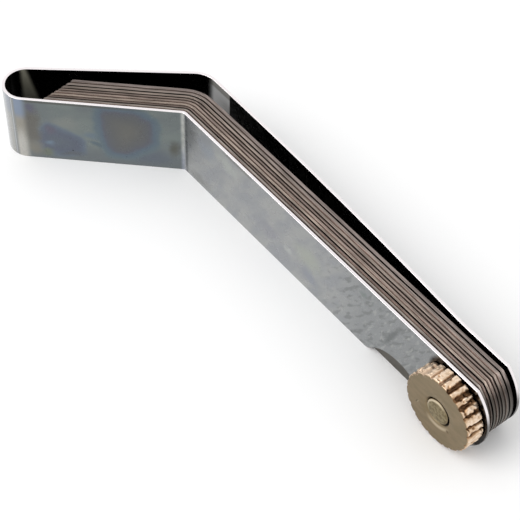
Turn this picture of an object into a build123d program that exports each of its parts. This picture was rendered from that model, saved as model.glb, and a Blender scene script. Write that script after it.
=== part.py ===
from build123d import *
import os
from math import atan, atan2, asin, cos, degrees, hypot, radians, sin, tan

# An offset feeler gauge: a stack of bent gauge leaves in a folded steel strip, held by a screw and a
# knurled nut. Sizes are millimetres.
# X runs along the long arm, and the pivot screw's axis is at X = 0. Y runs across the leaves, with 0 at
# the near limb's outer face. Z is up, and the strip stands on its lower edge at Z = 0.

# The strip that makes the case
strip_width = 12.7
strip_thickness = 0.5
arm_length = 62.1            # pivot to the bend's corner, on the near limb's outer face
offset_angle = 46.2          # how far the short arm is bent from the long one, in degrees
fold_arm = 25.35             # bend's corner to where the strip starts to fold back
near_bend_radius = 0.75      # inside radius of the near limb's bend
end_reach = 6.75             # pivot to the tip of the near limb's round end
end_corner = 3.75            # pivot to where its straight edges stop
end_setback = 0.62           # how much shorter the far limb and the leaves are there
hole_clearance = 0.1         # round the screw, in the near limb

# The far limb, which stands off the leaves and closes in on them at the screw
stack_play = 0.7             # last leaf to the far limb, at the pivot
limb_rise = 1.92             # how much further out the far limb is at its bend
far_bend_shift = 1.4         # how far its bend lies beyond the leaves' line of bends
far_bend_radius = 4.0        # inside radius of its bend
settle_radius = 58.0         # the counter-bend that lets it lie flat under the screw's head
seat_margin = 0.3            # flat left round the screw's head
fold_room = 1.39             # the fold's inner width, less the stack of leaves

# The thumb notch in the near limb's lower edge
notch_radius = 7.5
notch_depth = 3.5
notch_from_pivot = 11.0
notch_corner_radius = 1.2

# The gauge leaves in their order from the near limb outwards, marked in thousandths of an inch
leaf_marks = [12, 8, 14, 13, 10, 16, 18, 20]
mark = 0.0254                # one thousandth of an inch
first_gap = 0.3              # near limb to the first leaf
leaf_gap = 0.26              # between a leaf and its neighbour
edge_inset = 0.1             # leaf's edge to the strip's edge
tip_room = 2.5               # leaf's tip to where the strip starts to fold back
tip_corner_radius = 0.8
leaf_running_clearance = 0.05

# The screw
screw_radius = 2.08
seat_clearance = 0.02        # round the screw, in the far limb
head_radius = 3.9
head_height = 1.3
head_edge_radius = 0.5
slot_width = 0.9
slot_depth = 0.6
screw_end_chamfer = 0.3
screw_end_stand = 0.05       # screw's end beyond the nut's face

# The knurled nut
nut_gap = 0.15               # nut to the near limb: it is backed off a little
nut_thickness = 2.83
nut_rim_inset = 0.07         # nut's rim to the strip's edges
nut_chamfer = 0.25
nut_back_chamfer = 0.1
nut_running_clearance = 0.05
mouth_width = 0.29           # chamfer round the screw's end
teeth = 24
groove_turn = 4.5            # the first groove's turn from level, in degrees
groove_depth = 0.48
groove_floor = 0.4
groove_mouth = 0.95

# Places that follow from those sizes
pivot_height = strip_width / 2
leaf_width = strip_width - 2 * edge_inset
leaf_sizes = [mark * number for number in leaf_marks]
stack = first_gap + sum(leaf_sizes) + leaf_gap * (len(leaf_sizes) - 1)
far_inner = strip_thickness + stack + stack_play
far_outer = far_inner + strip_thickness
nut_radius = strip_width / 2 - nut_rim_inset
nut_face = -nut_gap - nut_thickness
bend = radians(offset_angle)
down_arm = Vector(-cos(bend), -sin(bend))
across_arm = Vector(-sin(bend), cos(bend))
beyond = 2 * (arm_length + fold_arm)


def across(y):
    """A plane square to the screw at Y = y, with its origin on the screw's axis, facing the nut."""
    return Plane(origin=(0, y, pivot_height), x_dir=(1, 0, 0), z_dir=(0, -1, 0))


def bend_corner(y):
    """Where the long arm's line at Y = y meets the short arm's, in the fan of nested bends."""
    return Vector(-arm_length - y * tan(bend / 2), y)


def round_end(width, setback):
    """The side view of a limb or leaf: straight edges, and a round end past the pivot."""
    half = width / 2
    corner = end_corner - setback
    with BuildSketch(across(strip_thickness)) as outline:
        with BuildLine():
            Polyline((corner, half), (-beyond, half), (-beyond, -half), (corner, -half))
            ThreePointArc((corner, -half), (end_reach - setback, 0), (corner, half))
        make_face()
    return outline.sketch


# The case: its outer face is one line of straights and tangent arcs, from end to end of the strip
fold_outer = (stack + fold_room) / 2 + strip_thickness
fold_start = bend_corner(0) + down_arm * fold_arm
fold_centre = fold_start + across_arm * fold_outer
far_bend_outer = far_bend_radius + strip_thickness
far_corner = bend_corner(far_outer + limb_rise) - Vector(far_bend_shift, 0)
to_corner = far_corner - fold_centre
far_angle = atan2(to_corner.Y, to_corner.X) - asin(fold_outer / hypot(to_corner.X, to_corner.Y))
far_up_arm = Vector(cos(far_angle), sin(far_angle))
far_bend_start = far_corner - far_up_arm * far_bend_outer * tan(far_angle / 2)
flat_start = -head_radius - seat_margin
bow_start = far_corner.X + far_bend_outer * tan(far_angle / 2)
bow_length = flat_start - bow_start
bow_angle = 2 * atan(limb_rise / bow_length)
bow_radius = bow_length / sin(bow_angle) - settle_radius

with BuildPart() as case:
    with BuildSketch():
        with BuildLine():
            near_limb = FilletPolyline(
                (end_reach, 0), bend_corner(0), fold_start, radius=near_bend_radius
            )
            fold_turn = 180 + offset_angle - degrees(far_angle)
            fold = JernArc(near_limb @ 1, near_limb % 1, fold_outer, -fold_turn)
            far_arm = Line(fold @ 1, far_bend_start)
            far_bend = JernArc(far_arm @ 1, far_arm % 1, far_bend_outer, -degrees(far_angle))
            bow = JernArc(far_bend @ 1, far_bend % 1, bow_radius, -degrees(bow_angle))
            settle = JernArc(bow @ 1, bow % 1, settle_radius, degrees(bow_angle))
            Line(settle @ 1, (end_reach, far_outer))
            offset(amount=strip_thickness, side=Side.LEFT)
        make_face()
    extrude(amount=strip_width)
    near_side = extrude(round_end(strip_width, 0), amount=beyond, mode=Mode.PRIVATE)
    far_side = extrude(round_end(strip_width, end_setback), amount=-beyond, mode=Mode.PRIVATE)
    add(near_side + far_side, mode=Mode.INTERSECT)
    with Locations(across(0)):
        Hole(screw_radius + hole_clearance, strip_thickness)
    with Locations(across(far_inner)):
        Hole(screw_radius + seat_clearance, strip_thickness)
    with BuildSketch(across(0)):
        with Locations((-notch_from_pivot, -pivot_height - notch_radius + notch_depth)):
            Circle(notch_radius)
    extrude(amount=-strip_thickness, mode=Mode.SUBTRACT)
    lower_corners = case.edges().filter_by(Axis.Y).group_by(Axis.Z)[0].sort_by(Axis.X)
    fillet(lower_corners[:2], notch_corner_radius)
case.part.label = "case"


def make_leaf(size, near_face):
    """A gauge leaf with its near face at Y = near_face and its bend nested in the near limb's."""
    far_face = near_face + size
    near_radius = near_bend_radius + near_face
    near_corner = bend_corner(near_face)
    near_tip = near_corner + down_arm * (fold_arm + near_corner.X + arm_length - tip_room)
    with BuildPart() as leaf:
        with BuildSketch(Plane.XY.offset(edge_inset)):
            with BuildLine():
                near_line = FilletPolyline(
                    (end_reach, near_face), near_corner, near_tip, radius=near_radius
                )
                far_line = FilletPolyline(
                    (end_reach, far_face),
                    bend_corner(far_face),
                    near_tip + across_arm * size,
                    radius=near_radius + size,
                )
                Line(near_line @ 0, far_line @ 0)
                Line(near_line @ 1, far_line @ 1)
            make_face()
        extrude(amount=leaf_width)
        side_view = round_end(leaf_width, end_setback)
        extrude(side_view, amount=beyond, both=True, mode=Mode.INTERSECT)
        with Locations(across(near_face)):
            Hole(screw_radius + leaf_running_clearance, size)
        tip = leaf.faces().sort_by(Axis((0, 0, 0), down_arm))[-1]
        fillet(tip.edges().filter_by(Axis((0, 0, 0), across_arm)), tip_corner_radius)
    return leaf


leaves = []
leaf_face = strip_thickness + first_gap
for number, leaf_size in enumerate(leaf_sizes, 1):
    gauge_leaf = make_leaf(leaf_size, leaf_face)
    gauge_leaf.part.label = f"leaf_{number}"
    leaves.append(gauge_leaf)
    leaf_face += leaf_size + leaf_gap

# The screw: its slotted head bears on the far limb, and its end fills the nut's mouth
with BuildPart() as pivot_screw:
    with BuildSketch(across(far_outer)):
        Circle(screw_radius)
    extrude(amount=far_outer - nut_face + screw_end_stand)
    chamfer(pivot_screw.faces().sort_by(Axis.Y)[0].edges(), screw_end_chamfer)
    with BuildSketch(across(far_outer)):
        Circle(head_radius)
    extrude(amount=-head_height)
    fillet(pivot_screw.faces().sort_by(Axis.Y)[-1].edges(), head_edge_radius)
    with BuildSketch(across(far_outer + head_height)):
        Rectangle(2 * head_radius, slot_width)
    extrude(amount=slot_depth, mode=Mode.SUBTRACT)
pivot_screw.part.label = "pivot_screw"

# The nut: a thick disc with a bevelled face, cut round the rim into coarse teeth
with BuildPart() as knurled_nut:
    with BuildSketch(across(-nut_gap)):
        Circle(nut_radius)
        Circle(screw_radius + nut_running_clearance, mode=Mode.SUBTRACT)
    extrude(amount=nut_thickness)
    front_edges = knurled_nut.faces().sort_by(Axis.Y)[0].edges().sort_by(SortBy.RADIUS)
    back_edges = knurled_nut.faces().sort_by(Axis.Y)[-1].edges().sort_by(SortBy.RADIUS)
    chamfer(front_edges[-1], nut_chamfer)
    chamfer(front_edges[0], mouth_width - nut_running_clearance)
    chamfer(back_edges[-1], nut_back_chamfer)
    with BuildSketch(across(-nut_gap)):
        with PolarLocations(nut_radius - groove_depth, teeth, groove_turn):
            Polygon(
                (0, -groove_floor / 2),
                (2 * groove_depth, groove_floor / 2 - groove_mouth),
                (2 * groove_depth, groove_mouth - groove_floor / 2),
                (0, groove_floor / 2),
                align=None,
            )
    extrude(amount=nut_thickness, mode=Mode.SUBTRACT)
knurled_nut.part.label = "knurled_nut"

os.makedirs("parts", exist_ok=True)
for piece in [case, *leaves, pivot_screw, knurled_nut]:
    export_step(piece.part, f"parts/{piece.part.label}.step")
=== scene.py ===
# %% [markdown]
# # An offset feeler gauge
# The gauge is a folded steel strip that holds eight thin steel leaves, with a brass screw and a knurled
# brass nut through one end. This lesson dresses the plain solids of such a gauge: it rounds their edges,
# cuts the nut's worn teeth, and gives each metal its own colour, grain and marks.

# %% Load the solids
from math import cos, exp, pi, radians, sin, tau
from random import Random
import bmesh
import bpy
from mathutils import Matrix, Vector
from mathutils.noise import noise as lumps


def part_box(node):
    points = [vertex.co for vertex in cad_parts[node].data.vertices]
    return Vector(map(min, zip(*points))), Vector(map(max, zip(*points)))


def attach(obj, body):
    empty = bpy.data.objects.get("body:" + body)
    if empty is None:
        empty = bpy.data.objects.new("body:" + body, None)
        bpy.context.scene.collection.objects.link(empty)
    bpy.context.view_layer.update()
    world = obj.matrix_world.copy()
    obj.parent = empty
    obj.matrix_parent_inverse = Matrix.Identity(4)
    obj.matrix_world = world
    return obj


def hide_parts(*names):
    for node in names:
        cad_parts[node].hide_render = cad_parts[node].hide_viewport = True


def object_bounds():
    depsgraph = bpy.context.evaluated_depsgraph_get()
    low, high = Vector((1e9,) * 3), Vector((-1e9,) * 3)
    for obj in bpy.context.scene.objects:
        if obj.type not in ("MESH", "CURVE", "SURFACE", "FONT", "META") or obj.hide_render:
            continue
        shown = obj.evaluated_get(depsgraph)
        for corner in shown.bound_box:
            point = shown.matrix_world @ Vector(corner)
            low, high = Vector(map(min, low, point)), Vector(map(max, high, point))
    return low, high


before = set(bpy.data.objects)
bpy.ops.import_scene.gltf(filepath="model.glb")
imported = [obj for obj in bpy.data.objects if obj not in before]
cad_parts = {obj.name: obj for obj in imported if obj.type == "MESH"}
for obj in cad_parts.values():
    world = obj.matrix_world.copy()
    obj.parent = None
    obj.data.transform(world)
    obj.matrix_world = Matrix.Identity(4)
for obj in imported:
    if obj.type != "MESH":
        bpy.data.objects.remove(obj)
solid_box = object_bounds()
mm = 0.001
print("solids:", ", ".join(sorted(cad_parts)))

# %% [markdown]
# ## The camera
# A picture taken with a long lens from half above looks down one side of the gauge. The camera's place
# and turn were worked out from the straight edges of the strip, whose directions in space are known. Its
# lens is given the way a lens maker gives it, in millimetres on a 36 mm sensor.

# %% The camera
camera_place = Vector((79.56, -100.36, 185.50)) * mm
view_heading = radians(50.59)
view_height = radians(50.16)
view_roll = radians(1.61)
lens_length = 109.71
sensor_width = 36

camera = bpy.data.objects.new("camera", bpy.data.cameras.new("camera"))
camera.data.sensor_width = sensor_width
camera.data.lens = lens_length
camera.data.clip_start = 1 * mm
turn = Matrix.Rotation(view_heading, 4, "Z") @ Matrix.Rotation(pi / 2 - view_height, 4, "X")
camera.matrix_world = Matrix.Translation(camera_place) @ turn @ Matrix.Rotation(view_roll, 4, "Z")
bpy.context.scene.collection.objects.link(camera)
bpy.context.scene.camera = camera
print("camera is", round(camera_place.length / mm), "mm from the pivot")

# %% [markdown]
# ## Building blocks for materials
# A material in Blender is a small network of nodes that ends in one shader. Wiring it by hand in Python
# takes many lines, so a few short helpers come first: one adds a node and fills its sockets, and the
# others add the nodes used most, which do a sum, mix two colours, ease from 0 to 1, or give a noise. Each
# returns the output that the next node is wired to.

# %% Nodes
def start_material(name):
    """A new material, the tree of its nodes, and its shader."""
    material = bpy.data.materials.new(name)
    material.use_nodes = True
    return material, material.node_tree, material.node_tree.nodes["Principled BSDF"]


def node(tree, kind, values=(), **settings):
    """A new node. A value for a socket is another node's output, or a plain number or colour."""
    made = tree.nodes.new("ShaderNode" + kind)
    for name, value in settings.items():
        setattr(made, name, value)
    for socket, value in values.items() if isinstance(values, dict) else enumerate(values):
        if isinstance(value, bpy.types.NodeSocket):
            tree.links.new(value, made.inputs[socket])
        else:
            made.inputs[socket].default_value = value
    return made


def calc(tree, operation, *values):
    """The result of a sum with one number or more."""
    return node(tree, "Math", values, operation=operation).outputs[0]


def times(tree, first, *others):
    """The product of numbers. A product of shares is 1 only where each of them is."""
    for other in others:
        first = calc(tree, "MULTIPLY", first, other)
    return first


def vector(tree, operation, *values):
    """The result of a sum with vectors: a number for a dot product, length or distance."""
    made = node(tree, "VectorMath", values, operation=operation)
    is_number = operation in ("DOT_PRODUCT", "LENGTH", "DISTANCE")
    return made.outputs["Value" if is_number else "Vector"]


def split(tree, place):
    """The three numbers of a vector."""
    return node(tree, "SeparateXYZ", [place]).outputs


def join(tree, *numbers):
    """A vector made from three numbers."""
    return node(tree, "CombineXYZ", numbers).outputs[0]


def ease(tree, value, start, end):
    """A number that eases from 0 at the start to 1 at the end."""
    return node(tree, "MapRange", [value, start, end], interpolation_type="SMOOTHSTEP").outputs[0]


def ramp(tree, value, start, end, first, last):
    """A number that goes evenly from the first to the last, while the value goes from start to end."""
    return node(tree, "MapRange", [value, start, end, first, last]).outputs[0]


def mix(tree, share, under, over):
    """The colour under, with a share of the colour over laid on it."""
    return node(tree, "Mix", {0: share, 6: under, 7: over}, data_type="RGBA").outputs[2]


def mix_numbers(tree, share, first, last):
    """A number that is the first where the share is 0, and the last where it is 1."""
    return node(tree, "Mix", {0: share, 2: first, 3: last}).outputs[0]


def noise(tree, place, stretch, detail=2):
    """A cloudy number from 0 to 1, whose lumps are larger where the stretch is smaller."""
    stretched = vector(tree, "MULTIPLY", place, stretch)
    return node(tree, "TexNoise", {"Vector": stretched, "Scale": 1, "Detail": detail}).outputs[0]


def tone(red, green, blue):
    """A colour as a picture shows it, from 0 to 255, turned into the light that Blender works with."""
    shown = [value / 255 for value in (red, green, blue)]
    return (*[v / 12.92 if v < 0.04045 else ((v + 0.055) / 1.055) ** 2.4 for v in shown], 1)


# %% [markdown]
# ## The studio
# Bare metal has hardly any colour of its own: it shows what stands round it. So the room is a plain
# white one, with a pale floor, an even sky and one wide lamp in front. The lamp keeps the floor before
# the gauge bright, because that is what the upright sides of the strip mirror.

# %% Floor, sky and lamp
floor_tone = (0.93, 0.93, 0.93, 1)
floor_size = 3.0
sky_light = 0.9
lamp_direction = Vector((-0.25, -0.62, 0.75)).normalized()
lamp_distance = 0.6
lamp_size = 0.4
lamp_power = 1.5


def make_floor(size, colour):
    """A pale paper floor, which reaches far past the picture."""
    corners = [(-size, -size, 0), (size, -size, 0), (size, size, 0), (-size, size, 0)]
    mesh = bpy.data.meshes.new("floor")
    mesh.from_pydata(corners, [], [(0, 1, 2, 3)])
    floor = bpy.data.objects.new("floor", mesh)
    material, _, shader = start_material("floor_paper")
    shader.inputs["Base Color"].default_value = colour
    shader.inputs["Roughness"].default_value = 0.9
    shader.inputs["Specular IOR Level"].default_value = 0.0
    mesh.materials.append(material)
    bpy.context.scene.collection.objects.link(floor)


def make_sky(light):
    """A white sky for the camera and for metal, which lights the rest of the room less strongly."""
    world = bpy.data.worlds.new("sky")
    world.use_nodes = True
    tree = world.node_tree
    ray = node(tree, "LightPath").outputs
    mirrored = calc(tree, "MAXIMUM", ray["Is Glossy Ray"], ray["Is Transmission Ray"])
    white = calc(tree, "MAXIMUM", ray["Is Camera Ray"], mirrored)
    strength = node(tree, "MapRange", {"Value": white, "To Min": light, "To Max": 1.0})
    tree.links.new(strength.outputs[0], tree.nodes["Background"].inputs["Strength"])
    tree.nodes["Background"].inputs["Color"].default_value = (1, 1, 1, 1)
    bpy.context.scene.world = world


def make_lamp(name, place, target, size, power):
    """A square lamp that faces a point."""
    light = bpy.data.lights.new(name, "AREA")
    light.size = size
    light.energy = power
    lamp = bpy.data.objects.new(name, light)
    lamp.location = place
    lamp.rotation_euler = (target - place).to_track_quat("-Z", "Y").to_euler()
    bpy.context.scene.collection.objects.link(lamp)


bpy.context.scene.view_settings.view_transform = "Standard"
gauge_middle = (Vector(solid_box[0]) + Vector(solid_box[1])) / 2
make_floor(floor_size, floor_tone)
make_sky(sky_light)
make_lamp("window", gauge_middle + lamp_direction * lamp_distance, gauge_middle, lamp_size, lamp_power)
print("gauge's middle:", [round(v / mm, 1) for v in gauge_middle])

# %% [markdown]
# ## Where things are
# Marks on the metal lie at real places, so the materials need to know the gauge's layout. The pivot is
# the origin, seen from above. The long arm runs along X, and the short arm turns away from it by the
# offset angle, so a place on it is given as so far along, up and across that arm. Every finish below
# measures in millimetres from the pivot's height. The change from one arm's finish to the other's is
# narrow at the near limb's sharp bend, and wider at the far limb's round one.

# %% Layout
offset_angle = radians(46.2)
bend_place = Vector((-62.1, 0, 0))
bend_softness = 0.2
bend_spread = 0.15
down_arm = Vector((-cos(offset_angle), -sin(offset_angle), 0))
across_arm = Vector((-sin(offset_angle), cos(offset_angle), 0))
past_bend = (down_arm - Vector((1, 0, 0))).normalized()
strip_low, strip_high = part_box("case")
pivot_height = (strip_low[2] + strip_high[2]) / 2 / mm


def dot(tree, place, direction):
    """How far a place lies along a direction."""
    return vector(tree, "DOT_PRODUCT", place, direction)


def find_place(tree):
    """Where a point of the metal lies, in millimetres from the pivot."""
    here = node(tree, "TexCoord").outputs["Object"]
    settings = {"Vector": here, "Location": (0, 0, -pivot_height), "Scale": (1 / mm, 1 / mm, 1 / mm)}
    return node(tree, "Mapping", settings).outputs[0]


def find_normal(tree):
    """The way a point of the metal faces, as three numbers."""
    return node(tree, "TexCoord").outputs["Normal"]


def along_strip(tree, place):
    """The point as so far along, up and across each arm, and a share that is 1 on the short arm."""
    x, y, z = split(tree, place)
    away = vector(tree, "SUBTRACT", place, bend_place)
    on_long = join(tree, x, z, y)
    on_short = join(tree, dot(tree, away, down_arm), z, dot(tree, away, across_arm))
    beyond = calc(tree, "SUBTRACT", dot(tree, away, past_bend), times(tree, y, bend_spread))
    softness = calc(tree, "ADD", bend_softness, times(tree, calc(tree, "ABSOLUTE", y), bend_spread))
    which = ease(tree, calc(tree, "DIVIDE", beyond, softness), -1.0, 1.0)
    return on_long, on_short, which


print("pivot height:", round(pivot_height, 2), "mm")

# %% [markdown]
# ## Stains
# Heat and oily fingers leave coloured patches on steel, with soft, wandering rims. One helper lays such a
# patch on whatever colour is under it: it measures how far a point lies from the patch's middle, counted
# in the patch's own radii, and lets the new colour fade out towards the rim. The place is shaken by a
# noise first, so that no rim is a true ellipse. Patches that follow each other stand in a list.

# %% Patches of colour
noise_middle = (0.5, 0.5, 0.5)


def shake(tree, place, reach, size):
    """The place, moved about by up to the reach, in lumps of the given size."""
    shrunk = vector(tree, "MULTIPLY", place, (1 / size,) * 3)
    cloud = node(tree, "TexNoise", {"Vector": shrunk, "Scale": 1, "Detail": 3}).outputs["Color"]
    centred = vector(tree, "SUBTRACT", cloud, noise_middle)
    return vector(tree, "ADD", place, vector(tree, "MULTIPLY", centred, (2 * reach,) * 3))


def patch(tree, place, under, middle, radii, over, turned=0.0, soft=0.3, strength=1.0):
    """The colour under, with a patch of the colour over. The soft part is a share of its radii."""
    settings = {"Vector": place, "Location": middle, "Rotation": (0, 0, radians(turned)), "Scale": radii}
    inside = node(tree, "Mapping", settings, vector_type="TEXTURE").outputs[0]
    cover = ease(tree, vector(tree, "LENGTH", inside), 1.0, 1.0 - soft)
    return mix(tree, times(tree, cover, strength), under, over)


def lay_patches(tree, place, colour, patches):
    """The colour, with patches laid on it. Each has a middle, radii, a soft part and a shade."""
    for middle, radii, soft, shade in patches:
        colour = patch(tree, place, colour, middle, radii, tone(*shade), soft=soft)
    return colour


print("tone of mid grey:", round(tone(128, 128, 128)[0], 3))

# %% [markdown]
# The two largest stains have corners, as a drop has when it dries between scratches, and bands of colour
# inside. Such an outline is a list of corners. For each side a dot product tells how far a point lies
# beyond it, and the largest of those numbers, with its joins smoothed, is the distance outside the whole
# outline. That distance is looked up in a short scale of colours.

# %% Stains with corners
stain_lumps = 1.6
stain_join = 1.2
stain_rim = 1.0


def colour_scale(tree, value, stops):
    """A colour looked up in a scale, whose stops are pairs of a number and a colour."""
    made = node(tree, "ValToRGB", [value])
    steps = made.color_ramp.elements
    for number, (at, colour) in enumerate(stops):
        step = steps[number] if number < 2 else steps.new(at)
        step.position = at
        step.color = colour
    return made.outputs[0]


def stain(tree, place, under, corners, bands, strength, shaken_by=0.5):
    """The colour under, with a stain. Its bands are pairs of a distance outside the outline and a colour."""
    moved = shake(tree, place, shaken_by, stain_lumps)
    outside = None
    for start, end in zip(corners, corners[1:] + corners[:1]):
        side = Vector((end[1] - start[1], start[0] - end[0], 0)).normalized()
        beyond = calc(tree, "SUBTRACT", dot(tree, moved, side), side.dot(Vector((*start, 0))))
        outside = calc(tree, "SMOOTH_MAX", outside, beyond, stain_join) if outside else beyond
    first, last = bands[0][0], bands[-1][0]
    stops = [((at - first) / (last - first), colour) for at, colour in bands]
    banded = colour_scale(tree, ramp(tree, outside, first, last, 0, 1), stops)
    cover = times(tree, ease(tree, outside, last, last - stain_rim), strength)
    return mix(tree, cover, under, banded)


# %% [markdown]
# ## Steel for the strip
# The strip is polished spring steel. Its long arm is light and even. Its short arm is painted darker as
# shade, and carries the blue, violet and brown patches of old heat. The upright sides mirror the white floor,
# and the cut edges face the white sky, so each colour is written as it is to be seen. A black ring of painted
# shade lies round the nut, and smears run slantwise across the long arm where fingers have wiped it.

# %% Smears and shades
near_limb_reach = (3.0, 1.0)
lift_reach = (5.0, -6.0)


def smears(tree, place, turned, stretch, low, high):
    """1 on smears that all run the same way, and 0 between them."""
    settings = {"Vector": place, "Rotation": (0, 0, radians(-turned))}
    along = node(tree, "Mapping", settings).outputs[0]
    return ease(tree, noise(tree, along, stretch, 3), low, high)


def between(tree, value, low, high, soft):
    """1 where a number lies between two others, and 0 outside them."""
    rising = ease(tree, value, low - soft, low + soft)
    return times(tree, rising, ease(tree, value, high + soft, high - soft))


def fade(tree, colour, value, start, end, factor):
    """The colour, multiplied more and more by a factor as a number goes from the start to the end."""
    share = ramp(tree, value, start, end, 1.0, factor)
    return node(tree, "VectorMath", {0: colour, "Scale": share}, operation="SCALE").outputs[0]


def paint_low_part_lighter(tree, colour, up, most):
    """The colour, with painted light that makes it lighter towards the lower edge, against the shaded floor
    that it mirrors.
    """
    return fade(tree, colour, up, *lift_reach, most)


# %% [markdown]
# The places in these lists are millimetres along and up an arm, and through the strip. A patch reaches
# only a few millimetres through it, so that it stays off the far limb.

# %% The long arm
wipe_slant = 50
shine_slant = 65
long_patches = [
    ((-56.0, 3.0, 0), (3.6, 2.6, 2), 0.9, (146, 151, 157)),
    ((-51.0, 4.0, 0), (4.0, 2.2, 2), 0.9, (166, 169, 165)),
    ((-31.5, 0.6, 0), (4.6, 3.0, 2), 0.8, (160, 163, 156)),
    ((-31.0, -2.9, 0), (2.6, 2.2, 2), 0.8, (141, 144, 151)),
    ((-36.2, -1.9, 0), (1.3, 1.0, 2), 0.9, (168, 170, 168)),
    ((-41.0, -1.6, 0), (3.4, 2.4, 2), 0.9, (143, 144, 149)),
    ((-58.2, -4.9, 0), (4.4, 1.3, 2), 0.9, (137, 138, 137)),
    ((-60.8, 3.2, 0), (2.8, 4.2, 2), 0.9, (130, 131, 131)),
]
dull_part = (-26, -18)
wiped_part = (-31, -22)
shiny_part = (-24, -14)
long_edge_shade_line = (5.75, 6.15)
long_edge_shade_reach = (-52, -45)
nut_shade_ring = 7.4
nut_shade_side = (-5.6, -4.6)
nut_shade_low = (-5.2, -4.2)


def strip_long_colour(tree, place):
    """The light long arm, with its faint patches and smudges, a painted shade line under its top edge, and a
    ring of painted shade round the nut.
    """
    x, up, _ = split(tree, place)
    cloud = smears(tree, place, wipe_slant, (0.16, 0.4, 0.2), 0.35, 0.65)
    colour = mix(tree, cloud, tone(147, 149, 152), tone(158, 159, 158))
    colour = mix(tree, ease(tree, x, *dull_part), colour, tone(142, 144, 145))
    shaken = shake(tree, place, 1.4, 2.5)
    colour = lay_patches(tree, shaken, colour, long_patches)
    # A thin line of painted shade runs just under the top edge.
    painted_edge_shade = times(tree, between(tree, up, *long_edge_shade_line, 0.15),
                       between(tree, x, *long_edge_shade_reach, 1), 0.7)
    colour = mix(tree, painted_edge_shade, colour, tone(118, 117, 112))
    wiped = smears(tree, place, wipe_slant, (0.4, 1.2, 1), 0.5, 0.64)
    wiped = times(tree, wiped, ease(tree, x, *wiped_part), 0.85)
    colour = mix(tree, wiped, colour, tone(122, 124, 124))
    shiny = smears(tree, place, shine_slant, (0.5, 1.5, 1), 0.55, 0.68)
    shiny = times(tree, shiny, ease(tree, x, *shiny_part), 0.8)
    colour = mix(tree, shiny, colour, tone(163, 165, 163))
    smudge, drip, black = tone(124, 131, 129), tone(112, 115, 115), tone(20, 16, 15)
    colour = patch(tree, shaken, colour, (-19.2, 4.2, 0), (1.2, 1.3, 2), smudge, soft=0.9)
    wavering = shake(tree, place, 0.4, 2.5)
    colour = patch(tree, wavering, colour, (-12.9, 1.2, 0), (5.6, 0.75, 2), drip, turned=66, soft=0.8)
    colour = paint_low_part_lighter(tree, colour, up, 1.15)
    # The black ring round the nut is painted shade, kept off its left side and its lower part.
    rough_rim = shake(tree, place, 0.35, 1.2)
    oily = times(tree, ease(tree, x, *nut_shade_side), ease(tree, up, *nut_shade_low))
    return patch(tree, rough_rim, colour, (0, 0, 0), (nut_shade_ring, nut_shade_ring, 2), black, soft=0.1, strength=oily)


# %% [markdown]
# The short arm was heated when the fold was made. Heat grows a thin skin on steel, and the thickness of
# that skin gives its colour: straw and brown first, then violet and blue. So the base is a slow noise
# looked up in a scale of such colours, and the stains and patches that can be told apart lie on it.

# %% The short arm
heat = [(0.35, tone(115, 122, 120)), (0.45, tone(103, 113, 119)), (0.52, tone(97, 100, 108)),
        (0.6, tone(101, 100, 97)), (0.7, tone(109, 108, 102))]
heat_patches = [
    ((5.4, -4.0, 0), (5.2, 2.6, 2), 0.8, (98, 104, 111)),
    ((14.2, -0.6, 0), (3.0, 1.2, 2), 0.8, (104, 115, 123)),
]
brown_corners = [(5.4, -0.9), (9.0, -3.7), (11.4, -3.5), (12.8, 1.0), (12.6, 5.0), (7.5, 5.0), (5.3, 3.3)]
brown_bands = [(-3.0, tone(103, 103, 100)), (-1.4, tone(98, 99, 99)), (-0.5, tone(96, 98, 101)),
               (0.0, tone(95, 97, 104)), (0.6, tone(94, 105, 115)), (2.2, tone(103, 115, 117))]
patches_between = [
    ((1.6, -1.9, 0), (1.4, 2.6, 2), 0.9, (92, 93, 88)),
    ((18.6, 2.0, 0), (3.6, 2.4, 2), 0.9, (121, 125, 122)),
]
violet_corners = [(16.5, -1.7), (16.6, -4.2), (20.2, -5.0), (22.9, -3.6), (23.1, -1.2), (21.5, 1.0)]
violet_bands = [(-2.0, tone(95, 101, 109)), (-0.5, tone(93, 98, 109)), (1.3, tone(102, 113, 124))]
patches_by_fold = [
    ((21.2, 0.2, 0), (1.3, 1.5, 2), 0.9, (98, 97, 108)),
    ((21.5, -2.9, 0), (1.5, 1.0, 2), 0.9, (106, 119, 132)),
    ((22.0, -4.9, 0), (1.8, 1.2, 2), 0.9, (105, 110, 102)),
    ((18.0, -5.0, 0), (3.2, 1.0, 2), 0.9, (95, 99, 104)),
    ((24.3, 0.5, 0), (2.2, 6.6, 3), 0.7, (101, 100, 96)),
    ((24.1, -4.2, 0), (2.0, 2.6, 3), 0.9, (116, 115, 109)),
    ((24.0, 4.8, 0), (1.5, 1.8, 2), 0.9, (98, 98, 110)),
]
low_part = (-2.0, -5.0)
short_edge_shade_line = (5.85, 6.2)
short_edge_shade_start = (2, 15)


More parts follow.
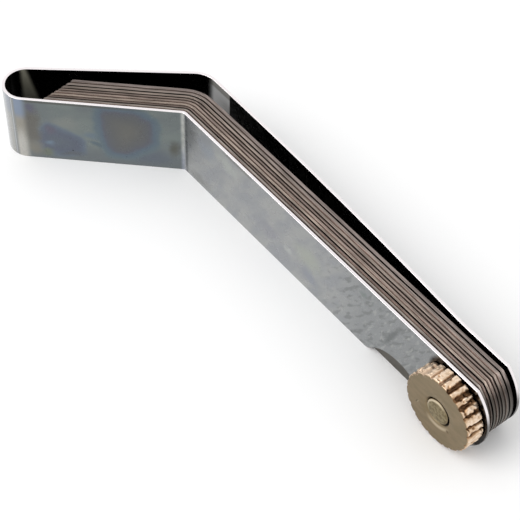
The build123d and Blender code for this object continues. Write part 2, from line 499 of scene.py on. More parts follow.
def strip_short_colour(tree, place):
    """The short arm, painted darker than the long arm as shade, with the patches that heat left on it."""
    along, up, out = split(tree, place)
    near_limb = ease(tree, out, *near_limb_reach)
    cloud = noise(tree, place, (0.15, 0.25, 0.2))
    colour = mix(tree, ease(tree, cloud, 0.35, 0.65), tone(115, 122, 120), tone(108, 114, 115))
    colour = mix(tree, ease(tree, up, *low_part), colour, tone(104, 109, 111))
    shaken = shake(tree, place, 1.0, 2.2)
    heated = colour_scale(tree, noise(tree, shaken, (0.11, 0.16, 0.1)), heat)
    colour = mix(tree, near_limb, heated, colour)
    colour = lay_patches(tree, shaken, colour, heat_patches)
    colour = stain(tree, place, colour, brown_corners, brown_bands, near_limb)
    wavering = shake(tree, place, 0.4, 1.5)
    wipe = tone(94, 105, 111)
    colour = patch(tree, wavering, colour, (14.0, -2.2, 0), (2.0, 0.7, 2), wipe, turned=22, soft=0.8)
    colour = lay_patches(tree, shaken, colour, patches_between)
    colour = stain(tree, place, colour, violet_corners, violet_bands, near_limb, 0.35)
    colour = lay_patches(tree, shaken, colour, patches_by_fold)
    # A thin line of painted shade runs just under the top edge.
    painted_edge_shade = times(tree, between(tree, up, *short_edge_shade_line, 0.1),
                       ease(tree, along, *short_edge_shade_start), 0.8)
    colour = mix(tree, painted_edge_shade, colour, tone(88, 88, 84))
    speck = tone(52, 50, 48)
    colour = patch(tree, place, colour, (17.9, -4.1, 0), (0.18, 0.15, 1), speck, soft=0.6)
    return paint_low_part_lighter(tree, colour, up, 1.38)


print("patches on the near limb:", len(long_patches + heat_patches + patches_between + patches_by_fold))

# %% [markdown]
# One material covers the whole strip, so it has to tell the cut edges and the inner faces from the rest.
# The cut edges are found by the way they face. The inner faces are found by the way they face on the far
# limb, and inside the fold by their distance from the middle of its curve.

# %% Edges and inner faces
fold_start = 25.35
fold_middle = (fold_start, 3.67)
fold_wall_radius = 3.42
far_limb_reach = (4.0, 4.5)
round_end_start = (3.0, 3.1)
sheared_line = (0.1, 0.17)
sheared_reach = (-38, -4)
shaded_end_along = (3.0, 5.0)
shaded_end_up = (4.2, 0.8)


def cut_edges(tree, place):
    """1 on the strip's cut edges: its upper and lower ones, and the round ends past the pivot."""
    _, normal_y, normal_z = split(tree, find_normal(tree))
    x, _, _ = split(tree, place)
    upright = ease(tree, calc(tree, "ABSOLUTE", normal_z), 0.35, 0.75)
    round_end = ease(tree, calc(tree, "ABSOLUTE", normal_y), 0.65, 0.25)
    return calc(tree, "MAXIMUM", upright, times(tree, ease(tree, x, *round_end_start), round_end))


def edge_colour(tree, place):
    """The bright cut edges, with a duller sheared line, and painted shade low on the round end."""
    x, y, up = split(tree, place)
    sheared = times(tree, between(tree, y, *sheared_line, 0.03), between(tree, x, *sheared_reach, 3))
    colour = mix(tree, sheared, tone(246, 240, 241), tone(196, 186, 190))
    # Low on the round end, the cut edge is painted darker as shade.
    shaded_low_end = times(tree, ease(tree, x, *shaded_end_along), ease(tree, up, *shaded_end_up))
    return mix(tree, shaded_low_end, colour, tone(112, 110, 108))


def inner_faces(tree, along, out, normal_in):
    """1 on the far limb's inner face and inside the fold, and 0 outside."""
    far_limb = times(tree, ease(tree, out, *far_limb_reach), ease(tree, normal_in, 0.3, 0.6))
    offset = join(tree, calc(tree, "SUBTRACT", along, fold_middle[0]),
                  calc(tree, "SUBTRACT", out, fold_middle[1]), 0)
    reach = vector(tree, "LENGTH", offset)
    in_fold = ease(tree, reach, fold_wall_radius + 0.05, fold_wall_radius - 0.05)
    in_fold = times(tree, in_fold, ease(tree, along, fold_start - 0.3, fold_start))
    return calc(tree, "MAXIMUM", far_limb, in_fold)


# %% [markdown]
# The bends are brighter than the flats, and that light is painted: a thin painted highlight follows the
# near bend, with a painted shade beside it, the far bend carries another painted highlight, and the outside
# of the fold is pale and striped with painted reflections.
# These lines lie square to the strip, so each is a range of the distance along it.

# %% Painted highlights and reflections outside the bends and the fold
bend_highlight = (-0.1, 0.42)
bend_shade = (-61.75, -61.2)
far_bend_highlight = (-68.0, -66.5)
# The light and dark stripes on the outside of the fold are painted reflections.
streak_rise = (24.5, 25.8)
streak_fall = (27.1, 26.4)
shiny_line = (25.7, 26.2)
dull_line = (26.75, 27.0)
bright_line = (27.02, 27.2)
wall_start = (27.15, 27.4)
wall_turn = (27.6, 28.9)
blue_part = (1.6, 3.6)


def bend_light_and_shade(tree, colour, place, along, up):
    """The colour, with a painted highlight and a painted shade beside it on the near bend, and a painted
    highlight on the far one.
    """
    x, y, _ = split(tree, place)
    near_limb = ease(tree, y, *near_limb_reach)
    shaded = times(tree, between(tree, x, *bend_shade, 0.25), near_limb, 0.8)
    colour = mix(tree, shaded, colour, tone(108, 111, 112))
    far_highlight = times(tree, between(tree, x, *far_bend_highlight, 0.7), ease(tree, y, 4.0, 5.0), 0.7)
    colour = mix(tree, far_highlight, colour, tone(172, 174, 173))
    # The near bend's painted highlight is patchy: worn sets its strength from place to place.
    worn = ramp(tree, noise(tree, place, (0.3, 0.3, 0.5), 3), 0.35, 0.6, 0.55, 1.0)
    highlighted = times(tree, between(tree, along, *bend_highlight, 0.28), worn, near_limb)
    highlight_tone = mix(tree, ease(tree, up, 0, -5), tone(182, 184, 179), tone(180, 184, 197))
    return mix(tree, highlighted, colour, highlight_tone)


def fold_colour(tree, colour, along, up):
    """The stripes on the outside of the fold, painted reflections which start just before it."""
    blue_top = ease(tree, up, *blue_part)
    streak = mix(tree, ease(tree, up, 1.0, -4.0), tone(148, 145, 137), tone(186, 184, 178))
    streak = mix(tree, blue_top, streak, tone(131, 142, 159))
    in_streak = times(tree, ease(tree, along, *streak_rise), ease(tree, along, *streak_fall))
    colour = mix(tree, in_streak, colour, streak)
    shiny = times(tree, between(tree, along, *shiny_line, 0.3), ease(tree, up, 1.0, -3.0), 0.7)
    colour = mix(tree, shiny, colour, tone(182, 181, 176))
    colour = mix(tree, between(tree, along, *dull_line, 0.18), colour, tone(146, 147, 146))
    colour = mix(tree, between(tree, along, *bright_line, 0.08), colour, tone(180, 182, 185))
    wall = mix(tree, blue_top, tone(168, 168, 165), tone(157, 161, 168))
    wall = mix(tree, ease(tree, along, *wall_turn), wall, tone(192, 193, 194))
    return mix(tree, ease(tree, along, *wall_start), colour, wall)


# %% [markdown]
# The faces that the strip turns inwards are painted nearly black as shade, apart from a grey streak inside
# the fold and a matt band where the far limb was bent. Both are painted reflections, and the band is painted
# lighter towards the bottom against its shade.

# %% Painted shade and reflections on the inner faces
inner_streak_start = 23.85
inner_streak_slant = 0.23
inner_streak_rise = 1.1
inner_streak_fall = (27.2, 26.3)
inner_streak_limb = (4.6, 5.4)
band_start = (-66.5, -64.8)
band_end = (-60.8, -61.0)
band_limb = (5.0, 6.0)


def inner_shade_colour(tree, on_short):
    """The inner faces, painted nearly black as shade, and how much of them is the grey streak inside the
    fold, a painted reflection.
    """
    along, up, out = split(tree, on_short)
    start = calc(tree, "ADD", inner_streak_start, times(tree, up, inner_streak_slant))
    streak = times(tree, ease(tree, along, start, calc(tree, "ADD", start, inner_streak_rise)),
                   ease(tree, along, *inner_streak_fall), ease(tree, out, *inner_streak_limb))
    colour = mix(tree, streak, tone(14, 13, 13), tone(128, 126, 112))
    scratches = times(tree, smears(tree, on_short, wipe_slant, (0.9, 3, 1), 0.5, 0.62), 0.8)
    scratch_tone = tone(150, 150, 146)
    middle = (18.3, 4.9, 7)
    colour = patch(tree, on_short, colour, middle, (1.5, 1.0, 2), scratch_tone, strength=scratches)
    return colour, streak


def reflection_band(tree, place, inside):
    """The colour of the matt band inside the far bend, a painted reflection made lighter towards the bottom
    against its shade, and a share that is 1 on the band.
    """
    x, y, up = split(tree, place)
    band = times(tree, ease(tree, x, *band_start), ease(tree, x, *band_end), inside,
                 ease(tree, y, *band_limb))
    colour = mix(tree, ease(tree, up, 5.5, -1.0), tone(176, 176, 176), tone(255, 255, 255))
    return mix(tree, ease(tree, up, 4.9, 5.3), colour, tone(130, 128, 124)), band


# %% [markdown]
# Now the strip's material puts these together. Polished steel is a metal with a low roughness. The matt
# places are rough and count as no metal, because they mirror nothing. The bump is tiny: fine lines that
# run along the strip from its rolling, and slow waves that bend what it mirrors a little.

# %% The strip's finish
polish = (0.2, 0.34)
matt_roughness = 0.5
wave_height = 12


def make_strip_steel():
    """The strip's steel: its colour, where it is metal, how rough it is, and its fine lines."""
    material, tree, shader = start_material("strip_steel")
    place = find_place(tree)
    on_long, on_short, which = along_strip(tree, place)
    along, up, out_short = split(tree, on_short)
    out = mix_numbers(tree, which, split(tree, place)[1], out_short)
    long_in = dot(tree, find_normal(tree), (0, -1, 0))
    short_in = dot(tree, find_normal(tree), -across_arm)
    inside = inner_faces(tree, along, out, mix_numbers(tree, which, long_in, short_in))
    edges = cut_edges(tree, place)

    short_colour = fold_colour(tree, strip_short_colour(tree, on_short), along, up)
    colour = mix(tree, which, strip_long_colour(tree, on_long), short_colour)
    colour = bend_light_and_shade(tree, colour, place, along, up)
    inner_colour, streak = inner_shade_colour(tree, on_short)
    colour = mix(tree, inside, colour, inner_colour)
    band_colour, band = reflection_band(tree, place, inside)
    colour = mix(tree, band, colour, band_colour)
    colour = mix(tree, edges, colour, edge_colour(tree, place))
    tree.links.new(colour, shader.inputs["Base Color"])

    matt = calc(tree, "MAXIMUM", band, times(tree, streak, inside))
    matt = times(tree, matt, calc(tree, "SUBTRACT", 1, edges))
    tree.links.new(calc(tree, "SUBTRACT", 1, matt), shader.inputs["Metallic"])
    rough = ramp(tree, noise(tree, place, (0.3, 0.3, 0.3), 4), 0.3, 0.7, *polish)
    rough = calc(tree, "ADD", rough, times(tree, matt, matt_roughness))
    tree.links.new(rough, shader.inputs["Roughness"])
    lines = noise(tree, place, (0.08, 0.08, 9), 3)
    waves = noise(tree, place, (0.12, 0.12, 0.3), 1)
    height = calc(tree, "ADD", lines, times(tree, waves, wave_height))
    bump = node(tree, "Bump", {"Strength": 0.35, "Distance": 0.003 * mm, "Height": height})
    tree.links.new(bump.outputs[0], shader.inputs["Normal"])
    return material


strip_steel = make_strip_steel()
print(strip_steel.name, "has", len(strip_steel.node_tree.nodes), "nodes")

# %% [markdown]
# ## Rounded edges
# No real edge is sharp: even a cut strip has a tiny rounding, and it is the rounding that catches the
# light. The solids' edges are rounded on a copy of their mesh. The copy is first cleaned of the lines
# that only divide flat faces, so that the bevel finds the true edges and nothing else.

# %% Rounded copies
weld_distance = 1e-7
flat_angle = radians(0.3)
sharp_angle = radians(30)


def take(source_name):
    """A working copy of a solid's mesh, with only its true edges left."""
    form = bmesh.new()
    form.from_mesh(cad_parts[source_name].data)
    bmesh.ops.remove_doubles(form, verts=form.verts, dist=weld_distance)
    bmesh.ops.dissolve_limit(form, angle_limit=flat_angle, verts=form.verts, edges=form.edges)
    return form


def settle(form, name, material, smooth_below=40):
    """Turns a working mesh into an object with smooth shading and a material."""
    mesh = bpy.data.meshes.new(name)
    form.to_mesh(mesh)
    form.free()
    mesh.shade_smooth()
    mesh.set_sharp_from_angle(angle=radians(smooth_below))
    mesh.materials.append(material)
    piece = bpy.data.objects.new(name, mesh)
    bpy.context.scene.collection.objects.link(piece)
    return piece


def rounded_copy(source_name, name, radius, material, segments=3):
    """A copy of a solid with its sharp edges rounded off."""
    form = take(source_name)
    sharp = [edge for edge in form.edges if edge.calc_face_angle(0) > sharp_angle]
    bmesh.ops.bevel(form, geom=sharp, offset=radius, segments=segments, profile=0.5,
                    affect="EDGES", clamp_overlap=True)
    piece = settle(form, name, material)
    even = piece.modifiers.new("even", "WEIGHTED_NORMAL")
    even.keep_sharp = True
    return piece


# %% [markdown]
# The strip was folded from one piece, so it is one copy with one material. The copy rides on the case's
# body and takes the place of the plain solid.

# %% The folded strip
strip_edge_radius = 0.08 * mm

folded_strip = rounded_copy("case", "folded_strip", strip_edge_radius, strip_steel)
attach(folded_strip, "case")
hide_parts("case")
print("folded strip:", len(folded_strip.data.polygons), "faces")

# %% [markdown]
# ## The leaves
# Each leaf is hardened steel, ground on its two faces and sheared along its edges. The sheared edges are
# dull and brownish, with fine lines along them, and no two leaves have quite the same colour. A leaf's
# faces are told from its edges by the way they face: only the faces look straight across the arm.

# %% A leaf's edge and face
edge_tones = [(154, 145, 138), (128, 114, 107), (163, 149, 138), (156, 141, 132),
              (142, 128, 120), (152, 139, 130), (150, 138, 131), (142, 131, 126)]
edge_shades = (0.8, 1.13, 1.35, 0.52)
short_arm_fade = (-60, -79)
corner_highlight = (2.9, 3.6)
oil_line = (-17, -24)
clean_half_width = 5.2
oil_wander = 3.0


def sheared_edge(tree, x, streaks, shaded_low_end, edge_tone):
    """A leaf's streaked edge: darker on the short arm, with painted shade low on the round end and a painted
    highlight at its corner.
    """
    dark, light, worn, shaded = [tone(*[shade * v for v in edge_tone]) for shade in edge_shades]
    colour = mix(tree, ease(tree, streaks, 0.36, 0.64), dark, light)
    colour = fade(tree, colour, x, *short_arm_fade, 0.72)
    # The pale corner is a painted highlight, in the colour called worn.
    corner = times(tree, between(tree, x, *corner_highlight, 0.4), ease(tree, streaks, 0.4, 0.55))
    colour = mix(tree, corner, colour, worn)
    return mix(tree, shaded_low_end, colour, shaded)


def ground_face(tree, x, up, on_strip):
    """A leaf's face: ground bright, with an oily rim and an oily part near the pivot."""
    clouds = ease(tree, noise(tree, on_strip, (0.2, 0.3, 0.2), 3), 0.35, 0.65)
    oily = mix(tree, clouds, tone(104, 101, 95), tone(90, 87, 80))
    ground = mix(tree, clouds, tone(166, 165, 161), tone(146, 144, 138))
    grain = ease(tree, noise(tree, on_strip, (0.05, 6.0, 0.5), 3), 0.35, 0.65)
    ground = mix(tree, times(tree, grain, 0.35), ground, tone(128, 126, 121))
    wander = times(tree, noise(tree, on_strip, (0.14, 0.2, 0.5), 3), oil_wander)
    wavy_up = calc(tree, "SUBTRACT", calc(tree, "ADD", up, wander), oil_wander / 2)
    clean = times(tree, ease(tree, calc(tree, "ADD", x, wander), *oil_line),
                  between(tree, wavy_up, -clean_half_width, clean_half_width, 0.35))
    return mix(tree, clean, oily, ground)


# %% [markdown]
# Dirt and dried oil have packed into the narrow gaps between the leaves, so each gap is as pale or as dark
# as the dirt that it holds, and that changes along the stack. The dirt lies on the faces, in a thin rim
# that follows the upper edge and then the round end. A round end is part of a circle, so the depth from it
# is measured from that circle's middle.

# %% Leaf steel
dirt_held = [(0.8, 0.5), (0.2, 0.9), (0.6, 0.0), (0.6, 1.0),
             (0.4, 0.35), (0.25, 0.25), (0.05, 0.95), (0.5, 0.0)]
dirt_and_shaded_dirt = (tone(214, 184, 170), tone(124, 107, 96))
dirt_depths = (0.6, 0.35)
dirt_change = (-50, -34)
half_width = 6.25
leaf_end_start = (2.9, 3.1)
leaf_shaded_end = ((3.4, 4.3), (5.9, 4.0))
round_end_middle = (-1.88, 0, 0)
round_end_radius = 8.01


def packed_dirt(tree, x, up, on_long, on_strip, near_fold, near_pivot):
    """How much dirt lies on a face's rim: one share towards the fold, and another towards the pivot."""
    held = ramp(tree, x, *dirt_change, near_fold, near_pivot)
    patchy = ramp(tree, noise(tree, on_strip, (0.5, 1, 1), 3), 0.35, 0.65, 0.7, 1.0)
    from_middle = vector(tree, "DISTANCE", on_long, round_end_middle)
    away = calc(tree, "ADD", from_middle, half_width - round_end_radius)
    outwards = mix_numbers(tree, ease(tree, x, *leaf_end_start), up, away)
    at_rim = ease(tree, outwards, *[half_width - depth for depth in dirt_depths])
    return times(tree, at_rim, held, patchy)


def make_leaf_steel(number, edge_tone, near_fold, near_pivot):
    """Steel for one leaf, with the share of dirt that its gap holds near the fold and near the pivot."""
    material, tree, shader = start_material(f"leaf_steel_{number}")
    place = find_place(tree)
    on_long, on_short, which = along_strip(tree, place)
    on_strip = mix(tree, which, on_long, on_short)
    x, _, up = split(tree, place)
    facing = [calc(tree, "ABSOLUTE", dot(tree, find_normal(tree), way)) for way in ((0, 1, 0), across_arm)]
    edge = ease(tree, calc(tree, "MAXIMUM", *facing), 0.85, 0.6)
    streaks = noise(tree, on_strip, (0.25, 1.0, 9.0), 4)
    # Low on the round end, the edges and the dirt are painted darker as shade.
    shaded_low_end = times(tree, ease(tree, x, *leaf_shaded_end[0]), ease(tree, up, *leaf_shaded_end[1]))
    dirt = packed_dirt(tree, x, up, on_long, on_strip, near_fold, near_pivot)
    dirt = times(tree, dirt, calc(tree, "SUBTRACT", 1, edge))
    face = ground_face(tree, x, up, on_strip)
    face = mix(tree, dirt, face, mix(tree, shaded_low_end, *dirt_and_shaded_dirt))
    colour = mix(tree, edge, face, sheared_edge(tree, x, streaks, shaded_low_end, edge_tone))
    tree.links.new(colour, shader.inputs["Base Color"])
    tree.links.new(calc(tree, "SUBTRACT", 1, dirt), shader.inputs["Metallic"])
    tree.links.new(ramp(tree, edge, 0, 1, 0.3, 0.5), shader.inputs["Roughness"])
    bump = node(tree, "Bump", {"Strength": 0.5, "Distance": 0.01 * mm, "Height": streaks})
    tree.links.new(bump.outputs[0], shader.inputs["Normal"])
    return material


# %% [markdown]
# A loop dresses the eight leaves, because they differ only in their solid, their colour and their dirt.
# Their edges are rounded less than the strip's: the thinnest leaf is a fifth of a millimetre thick.

# %% The eight leaves
leaf_edge_radius = 0.03 * mm

for number, (edge_tone, dirt) in enumerate(zip(edge_tones, dirt_held), 1):
    leaf_steel = make_leaf_steel(number, edge_tone, *dirt)
    blade = rounded_copy(f"leaf_{number}", f"blade_{number}", leaf_edge_radius, leaf_steel)
    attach(blade, f"leaf_{number}")
    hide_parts(f"leaf_{number}")
    low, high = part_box(f"leaf_{number}")
    print(blade.name, "is", round((high[0] - low[0]) / mm, 1), "mm long from above")

# %% [markdown]
# ## Brass
# The nut and the screw are brass. The nut's flat face has gone a dull olive brown, because fingers touch
# only its teeth, and those are worn to a pale shine; the teeth on the upper left are painted paler still, as
# painted light. Dirt stays dark in the grooves. How pale the brass is depends on how far a point lies from
# the axis, so the crowns of the teeth can be told from the floors between them. Round the screw's end the
# face has a dark ring of painted shade, a painted highlight in a crescent below it where the face dips, and a
# few knocks, one of them drawn in painted shade and painted highlight. The back of the nut is painted dark as
# shade.

# %% The nut's face and the screw's end
nut_low, nut_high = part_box("knurled_nut")
nut_radius = (nut_high[2] - nut_low[2]) / 2 / mm
nut_back = nut_high[1] / mm
nut_front = nut_low[1] / mm
crescent = (2.6, 3.1)
# The first two knocks draw one dent in painted shade with a painted highlight beside it; the third is a dark
# spot.
knocks = [
    ((-3.9, -1.6, 0), (0.16, 0.6, 2), -20, (107, 95, 74)),
    ((-3.65, -1.5, 0), (0.12, 0.5, 2), -20, (163, 150, 126)),
    ((2.4, -2.0, 0), (0.4, 0.3, 2), 0, (108, 92, 70)),
]
button_rim = (1.74, 2.0)
shade_ring_radii = (2.2, 2.38)


def toward(tree, place, reach, right, up, narrow):
    """1 on the side of the axis that lies in one direction, and 0 on the other."""
    direction = Vector((right, 0, up)).normalized()
    return ease(tree, calc(tree, "DIVIDE", dot(tree, place, direction), reach), narrow, 1.0)


def nut_face(tree, place, flat, reach):
    """The nut's dull face, with a painted highlight in a crescent below the screw, and its knocks."""
    clouds = noise(tree, place, (0.35, 0.35, 0.9), 4)
    face = mix(tree, ease(tree, clouds, 0.35, 0.65), tone(140, 124, 99), tone(131, 117, 92))
    below = toward(tree, flat, reach, 0.2, -1, 0.55)
    crescent_highlight = times(tree, between(tree, reach, *crescent, 0.22), below, 0.95)
    face = mix(tree, crescent_highlight, face, tone(192, 177, 152))
    x, _, up = split(tree, flat)
    on_face = join(tree, x, up, 0)
    for middle, radii, turned, shade in knocks:
        face = patch(tree, on_face, face, middle, radii, tone(*shade), turned, soft=0.8)
    return face


def add_screw_end(tree, face, place, flat, reach):
    """The face, with the screw's mottled end in its middle, a painted highlight on its rim, and a ring of
    painted shade round it.
    """
    mottled = noise(tree, place, (2.0, 2.0, 2.0), 4)
    button = mix(tree, ease(tree, mottled, 0.4, 0.6), tone(116, 103, 76), tone(146, 134, 104))
    face = mix(tree, ease(tree, reach, 2.0, 1.9), face, button)
    upper_left = toward(tree, flat, reach, -0.6, 0.8, -0.1)
    lit_rim = times(tree, between(tree, reach, *button_rim, 0.08), upper_left)
    face = mix(tree, lit_rim, face, tone(206, 192, 166))
    # The dark ring round the screw's end is painted shade, wider and darker on the right.
    right = toward(tree, flat, reach, 1.0, 0.35, -0.4)
    shade_tone = mix(tree, right, tone(92, 78, 55), tone(38, 31, 22))
    shade_end = mix_numbers(tree, right, *shade_ring_radii)
    ring = times(tree, ease(tree, reach, 2.0, 2.08),
                 ease(tree, reach, calc(tree, "ADD", shade_end, 0.08), calc(tree, "SUBTRACT", shade_end, 0.04)))
    return mix(tree, ring, face, shade_tone)


print("nut:", round(2 * nut_radius, 2), "mm across and", round(nut_back - nut_front, 2), "mm thick")

# %% [markdown]
# One brass serves both pieces, and it is put together in the same way as the steel. The teeth's colour is
# looked up in a scale by their height above the grooves' floor. The face's colour shows inside the rim,
# and on the rim wherever a point looks along the axis. The screw's head lies far behind the nut, so its
# place alone tells it apart.

# %% Brass finish
screw_low, screw_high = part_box("pivot_screw")
head_top = screw_high[1] / mm
slot_width = 0.9
groove_depth = 0.48
tooth_tones = [(0.0, tone(88, 64, 44)), (0.3, tone(136, 105, 76)), (0.55, tone(184, 150, 117)),
               (0.8, tone(220, 193, 164)), (1.0, tone(240, 219, 197))]
rim_start = 0.7
back_shade = 0.15
far_side = (3.0, 4.0)


def tooth_colour(tree, flat, reach, grime):
    """The teeth: dark in the grooves, pale on the crowns, and painted palest on the upper left, as painted
    light.
    """
    uneven = times(tree, calc(tree, "SUBTRACT", grime, 0.5), 0.5)
    height = calc(tree, "ADD", calc(tree, "SUBTRACT", reach, nut_radius - groove_depth), uneven)
    colour = colour_scale(tree, calc(tree, "DIVIDE", height, groove_depth), tooth_tones)
    highlighted = times(tree, toward(tree, flat, reach, -0.7, 0.7, 0.6), 0.6)
    return mix(tree, highlighted, colour, tone(236, 212, 188))


def head_colour(tree, y, up, facing, grime):
    """The screw's head, with a paler edge and a dark slot."""
    colour = mix(tree, ease(tree, facing, 0.95, 0.5), tone(148, 131, 103), tone(196, 172, 140))
    colour = mix(tree, ease(tree, grime, 0.4, 0.65), colour, tone(128, 111, 84))
    wall = slot_width / 2 + 0.01
    deep = ease(tree, y, head_top - 0.1, head_top - 0.25)
    in_slot = times(tree, between(tree, up, -wall, wall, 0.02), deep)
    return mix(tree, in_slot, colour, tone(66, 53, 37))


def make_brass():
    """Brass for the nut and the screw, which are told apart by where they lie."""
    material, tree, shader = start_material("worn_brass")
    place = find_place(tree)
    _, y, up = split(tree, place)
    flat = vector(tree, "MULTIPLY", place, (1, 0, 1))
    reach = vector(tree, "LENGTH", flat)
    facing = calc(tree, "ABSOLUTE", dot(tree, find_normal(tree), (0, 1, 0)))
    grime = noise(tree, place, (2.0, 1.1, 2.0), 5)
    on_rim = ease(tree, calc(tree, "ADD", facing, calc(tree, "SUBTRACT", grime, 0.5)), 0.95, 0.65)
    rim_inside = nut_radius - rim_start
    on_rim = times(tree, on_rim, ease(tree, reach, rim_inside - 0.05, rim_inside + 0.05))
    # The back rim of the nut, which faces the limb, is painted dark as shade.
    back = times(tree, ease(tree, y, nut_back - 0.04, nut_back - 0.01),
                 ease(tree, reach, nut_radius, nut_radius - back_shade))

    face = add_screw_end(tree, nut_face(tree, place, flat, reach), place, flat, reach)
    colour = mix(tree, on_rim, face, tooth_colour(tree, flat, reach, grime))
    colour = mix(tree, back, colour, tone(46, 38, 28))
    colour = mix(tree, ease(tree, y, *far_side), colour, head_colour(tree, y, up, facing, grime))
    tree.links.new(colour, shader.inputs["Base Color"])
    shader.inputs["Metallic"].default_value = 1
    tree.links.new(ramp(tree, on_rim, 0, 1, 0.46, 0.42), shader.inputs["Roughness"])
    bump = node(tree, "Bump", {"Strength": 0.5, "Distance": 0.03 * mm, "Height": grime})
    tree.links.new(bump.outputs[0], shader.inputs["Normal"])
    return material


brass = make_brass()
print(brass.name, "has", len(brass.node_tree.nodes), "nodes")

# %% [markdown]
# ## The knurled nut
# A nut like this is turned on a lathe, and its rim is then cut into coarse teeth. It is made the same
# way here: each place on its section becomes a ring of points round the axis, and a skin is laid over the
# rings. The first helper lays such a skin, and it serves the screw as well.

# %% Rings of points
def lathe(rings, closed):
    """A skin over rings of points. It joins its last ring to its first, or closes each end with a face."""
    form = bmesh.new()
    turned = [[form.verts.new(point) for point in ring] for ring in rings]
    steps = len(rings[0])
    pairs = list(zip(turned, turned[1:] + turned[:1] if closed else turned[1:]))
    for near, far in pairs:
        for step in range(steps):
            after = (step + 1) % steps
            form.faces.new((near[step], near[after], far[after], far[step]))
    if not closed:
        form.faces.new(turned[0])
        form.faces.new(turned[-1])
    bmesh.ops.recalc_face_normals(form, faces=form.faces)
    return form


def ring_point(radius, y, angle):
    """A point round the pivot's axis, in metres."""
    return Vector((radius * cos(angle), y, pivot_height + radius * sin(angle))) * mm


def soft_step(value):
    """Eases from 0 to 1 as the value does, and stays there."""
    held = min(max(value, 0), 1)
    return held * held * (3 - 2 * held)


# %% [markdown]
# A ring's points are pulled in where a groove is. The grooves were cut coarsely: each has its own small
# turn in degrees, width in millimetres and share of the full depth. Years of use have worn the teeth, so
# lumps, pits, chips and burrs are added at random. The random numbers start from a fixed one, so that the
# nut comes out the same each time.

# %% The nut's teeth
teeth = 24
groove_turn = radians(4.5)
groove_floor = 0.15
front_fill = 0.15
fill_reach = 0.9
wear_depth = 0.06
lump_height = 0.12
lumps_to_a_mm = 2.2
deepest_sink = groove_depth + 0.1
dent_reach = 3
steps_to_a_tooth = 24
wear = Random(5)
grooves = [(2.6, 0.95, 0.9), (2.8, 0.85, 0.85), (2.6, 1.0, 0.9), (2.2, 1.15, 1.0),
           (0.4, 1.2, 0.9), (-1.3, 1.05, 0.95), (-1.6, 0.7, 0.85), (-0.6, 0.65, 0.9)]
grooves += [(wear.uniform(-1.5, 1.5), wear.uniform(0.7, 1.1), wear.uniform(0.8, 1.0))
            for _ in range(teeth - len(grooves))]
groove_lean = [wear.uniform(-0.07, 0.07) for _ in range(teeth)]


def random_dents(count, low, high, wide, long, deep):
    """Dents at random places on the rim: an angle, a place along the axis, two sizes and a depth."""
    return [(wear.uniform(0, tau), wear.uniform(low, high), wear.uniform(*wide), wear.uniform(*long),
             wear.uniform(*deep)) for _ in range(count)]


pits = random_dents(50, nut_front + 0.1, nut_back - 0.3, (0.015, 0.03), (0.1, 0.2), (0.1, 0.3))
chips = random_dents(60, nut_front + 0.25, nut_front + 1.3, (0.02, 0.035), (0.1, 0.2), (0.25, 0.5))
burrs = random_dents(60, nut_front + 0.2, nut_back - 0.3, (0.012, 0.02), (0.2, 0.6), (-0.3, -0.1))


def rim_sink(angle, y):
    """How deep the rim is cut, worn and dented at a point, in millimetres."""
    pitch = tau / teeth
    number = int(((angle - groove_turn) / pitch + 0.5) // 1) % teeth
    shift, mouth, depth = grooves[number]
    off = (angle - groove_turn + pitch / 2) % pitch - pitch / 2 - radians(shift)
    arc = abs(off * nut_radius + groove_lean[number] * (y - nut_front))
    depth *= groove_depth * (1 - front_fill * soft_step(1 - (y - nut_front) / fill_reach))
    sink = depth * soft_step((mouth / 2 - arc) / (mouth / 2 - groove_floor / 2))
    place = (nut_radius * cos(angle), y, nut_radius * sin(angle))
    sink += wear_depth + lump_height * lumps([lumps_to_a_mm * v for v in place])
    for dent_angle, dent_y, wide, long, deep in pits + chips + burrs:
        turned = (angle - dent_angle + pi) % tau - pi
        if abs(turned) < dent_reach * wide and abs(y - dent_y) < dent_reach * long:
            sink += deep * exp(-(turned / wide) ** 2 - ((y - dent_y) / long) ** 2)
    return min(max(sink, 0), deepest_sink)


print("dents round the rim:", len(pits + chips + burrs))

# %% [markdown]
# A list of stations runs round the section, from the back face over the rim and the front face and down
# the threaded bore. Each station is a place, with the number of steps to the next one. In the bore the
# metal stands in and out once for each turn and for each pitch along the axis, which makes the thread.

# %% The nut's section
bore_radius = 2.13
mouth_radius = 2.42
dish_radius = 3.3
dish_depth = 0.1
mouth_depth = 0.4
thread_pitch = 0.794
thread_depth = 0.3
thread_fade = 0.3
back_bevel = 0.1
back_mouth = 0.25
front_bevel = 0.2
face_reach = 1.0


def blend(start, end, count):
    """Evenly spaced stations from one to the next, without the last."""
    return [tuple(a + (b - a) * n / count for a, b in zip(start, end)) for n in range(count)]


stations = [
    ((bore_radius + back_mouth, nut_back), 5),
    ((nut_radius - back_bevel, nut_back), 3),
    ((nut_radius, nut_back - back_bevel), 22),
    ((nut_radius, nut_front + front_bevel), 5),
    ((nut_radius - front_bevel, nut_front), 8),
    ((dish_radius, nut_front), 5),
    ((mouth_radius, nut_front + dish_depth), 3),
    ((bore_radius, nut_front + mouth_depth), 26),
    ((bore_radius, nut_back - back_mouth), 3),
]
section = []
for (start, count), (end, _) in zip(stations, stations[1:] + stations[:1]):
    section += blend(start, end, count)


def nut_point(radius, y, angle):
    """A point of the nut's skin: cut by the teeth near the rim, and by the thread in the bore."""
    if radius > bore_radius + face_reach:
        return ring_point(min(radius, nut_radius - rim_sink(angle, y)), y, angle)
    turns = (y / thread_pitch + angle / tau) % 1
    inside = soft_step((y - nut_front - mouth_depth) / thread_fade)
    inside *= soft_step((nut_back - back_mouth - y) / thread_fade)
    return ring_point(radius + thread_depth * inside * (1 - abs(2 * turns - 1)), y, angle)


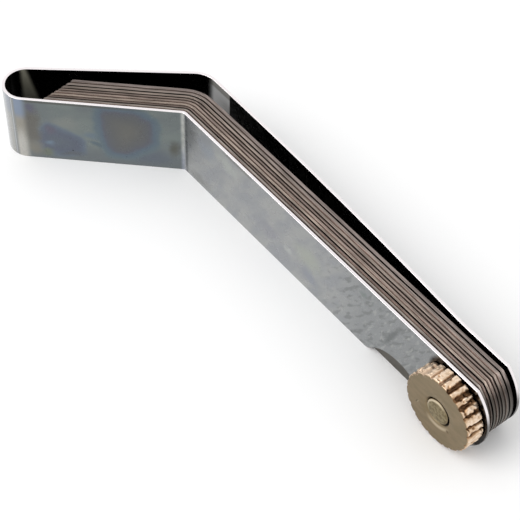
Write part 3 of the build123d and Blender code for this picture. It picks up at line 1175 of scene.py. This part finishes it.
angles = [tau * step / (teeth * steps_to_a_tooth) for step in range(teeth * steps_to_a_tooth)]
nut_form = lathe([[nut_point(radius, y, angle) for angle in angles] for radius, y in section], True)
toothed_nut = settle(nut_form, "toothed_nut", brass, 50)
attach(toothed_nut, "nut")
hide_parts("knurled_nut")
print("toothed nut:", len(toothed_nut.data.polygons), "faces")

# %% [markdown]
# ## The screw
# The screw goes through everything and is hidden but for its slotted head behind the far limb and its
# end in the nut's mouth. It is turned like the nut, with a thread along the part that the nut runs on.
# The slot is cut last, by taking a small block away from the head, as a slitting saw would.

# %% The slotted screw
screw_end = screw_low[1] / mm
shank_radius = 2.08
head_radius = (screw_high[2] - screw_low[2]) / 2 / mm
head_height = 1.3
head_round = 0.5
slot_depth = 0.6
end_chamfer = 0.3
thread_end = 0.4
thread_run_out = 0.4
root_depth = 0.3
thread_rings = 44
plain_rings = 6
round_steps = 8
screw_steps = 96
cutter_room = 1.0

under_head = head_top - head_height
quarter = [pi / 2 * step / round_steps for step in range(round_steps + 1)]
profile = [(0.5, screw_end), (1.2, screw_end + 0.02), (shank_radius - end_chamfer, screw_end + 0.05),
           (shank_radius - 0.15, screw_end + 0.1), (shank_radius - 0.04, screw_end + 0.19),
           (shank_radius, screw_end + end_chamfer)]
profile += blend((shank_radius, screw_end + end_chamfer), (shank_radius, thread_end), thread_rings)[1:]
profile += blend((shank_radius, thread_end), (shank_radius, under_head), plain_rings)
profile += [(shank_radius, under_head), (head_radius, under_head)]
profile += [(head_radius - head_round * (1 - cos(t)), head_top - head_round * (1 - sin(t))) for t in quarter]
profile += [(2.2, head_top), (0.8, head_top)]


def screw_point(radius, y, angle):
    """A point of the screw's skin, cut by the thread where that runs."""
    turns = (y / thread_pitch + angle / tau + 0.5) % 1
    cut = soft_step((y - screw_end - end_chamfer) / thread_run_out)
    cut *= soft_step((thread_end - y) / thread_run_out)
    threaded = abs(radius - shank_radius) < 0.001
    return ring_point(radius - (root_depth * cut * abs(2 * turns - 1) if threaded else 0), y, angle)


screw_angles = [tau * step / screw_steps for step in range(screw_steps)]
screw_form = lathe([[screw_point(radius, y, a) for a in screw_angles] for radius, y in profile], False)
slotted_screw = settle(screw_form, "slotted_screw", brass, 35)

cutter_form = bmesh.new()
slot_size = (2 * head_radius + cutter_room, 2 * slot_depth, slot_width)
slot_place = Matrix.Translation(Vector((0, head_top, pivot_height)) * mm)
bmesh.ops.create_cube(cutter_form, size=mm, matrix=slot_place @ Matrix.Diagonal((*slot_size, 1)))
cutter = settle(cutter_form, "slot_cutter", brass)
slot = slotted_screw.modifiers.new("slot", "BOOLEAN")
slot.operation = "DIFFERENCE"
slot.object = cutter
slot.solver = "EXACT"
depsgraph = bpy.context.evaluated_depsgraph_get()
slotted_screw.data = bpy.data.meshes.new_from_object(slotted_screw.evaluated_get(depsgraph))
slotted_screw.modifiers.clear()
bpy.data.objects.remove(cutter)
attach(slotted_screw, "case")
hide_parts("pivot_screw")
print("slotted screw:", len(slotted_screw.data.polygons), "faces")
